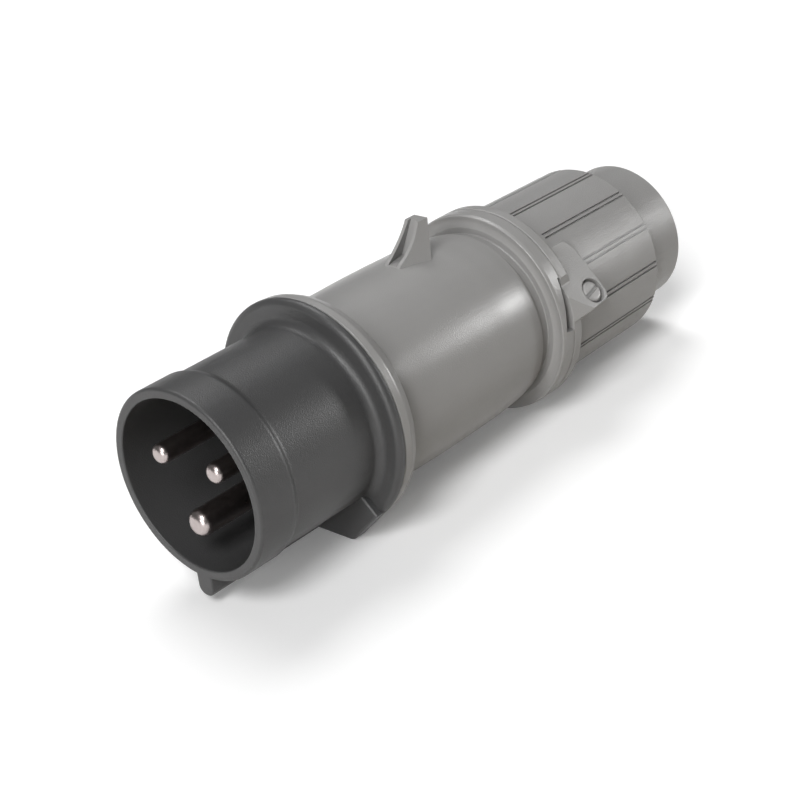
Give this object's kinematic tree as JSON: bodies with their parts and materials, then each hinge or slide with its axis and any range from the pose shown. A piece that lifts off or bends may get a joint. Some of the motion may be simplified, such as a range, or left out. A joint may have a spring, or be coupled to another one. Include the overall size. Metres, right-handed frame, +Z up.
{
  "type": "industrial pin and sleeve plug",
  "caption": "Round industrial pin and sleeve plug with a dark contact shroud, a grey barrel with a retaining lug and a ribbed cable gland nut.",
  "frame": {"origin": "on the plug's axis, in the front plane of the flange's squared foot, where the plug stops against a socket", "axes": "+Y along the axis from the contact pins to the cable entry, +Z up through the retaining lug, +X completes a right-handed set"},
  "size_m": [0.0705, 0.1993, 0.0765],
  "materials": {
    "shroud_polyamide": "dark grey moulded polyamide, fine spark texture",
    "housing_polyamide": "mid grey moulded polyamide, satin",
    "nut_polyamide": "mid grey moulded polyamide, satin",
    "lock_screw_polyamide": "mid grey moulded polyamide, satin",
    "nickelled_brass": "nickel-plated turned brass",
    "zinc_plated_steel": "zinc-plated steel",
    "carrier_polyamide": "natural moulded polyamide",
    "cage_polyamide": "black moulded polyamide",
    "slip_ring_polyamide": "natural acetal",
    "black_rubber": "black rubber",
    "seal_rubber": "black rubber"
  },
  "bodies": {
    "plug_body": {"contact_shroud": "shroud_polyamide", "flange_gasket": "black_rubber", "pin_retainer": "carrier_polyamide", "line_pin": "nickelled_brass", "neutral_pin": "nickelled_brass", "earth_pin": "nickelled_brass", "line_wire_clamp": "zinc_plated_steel", "neutral_wire_clamp": "zinc_plated_steel", "earth_wire_clamp": "zinc_plated_steel", "terminal_screws": "zinc_plated_steel", "retainer_screw": "zinc_plated_steel", "housing": "housing_polyamide", "body_screws": "zinc_plated_steel", "neck_seal": "black_rubber", "clamp_cage": "cage_polyamide", "cable_seal": "seal_rubber", "seal_core": "seal_rubber"},
    "slip_ring": {"slip_ring": "slip_ring_polyamide"},
    "gland_nut": {"gland_nut": "nut_polyamide"},
    "lock_screw": {"lock_screw": "lock_screw_polyamide"}
  },
  "joints": [
    {"name": "nut_travel", "type": "slide", "parent": "plug_body", "child": "slip_ring", "axis": [0, 1, 0], "range_m": [0, 0.006]},
    {"name": "nut_turn", "type": "hinge", "parent": "slip_ring", "child": "gland_nut", "pos_m": [0, 0.1, 0], "axis": [0, 1, 0], "range_deg": [0, 720]},
    {"name": "lock_screw_turn", "type": "hinge", "parent": "gland_nut", "child": "lock_screw", "pos_m": [0.03237, 0.09555, 0.0081], "axis": [0.766, 0, 0.6428], "range_deg": [0, 720]}
  ],
  "couplings": [
    {"joint": "nut_travel", "follows": "nut_turn", "m_per_rad": 0.00047746}
  ]
}
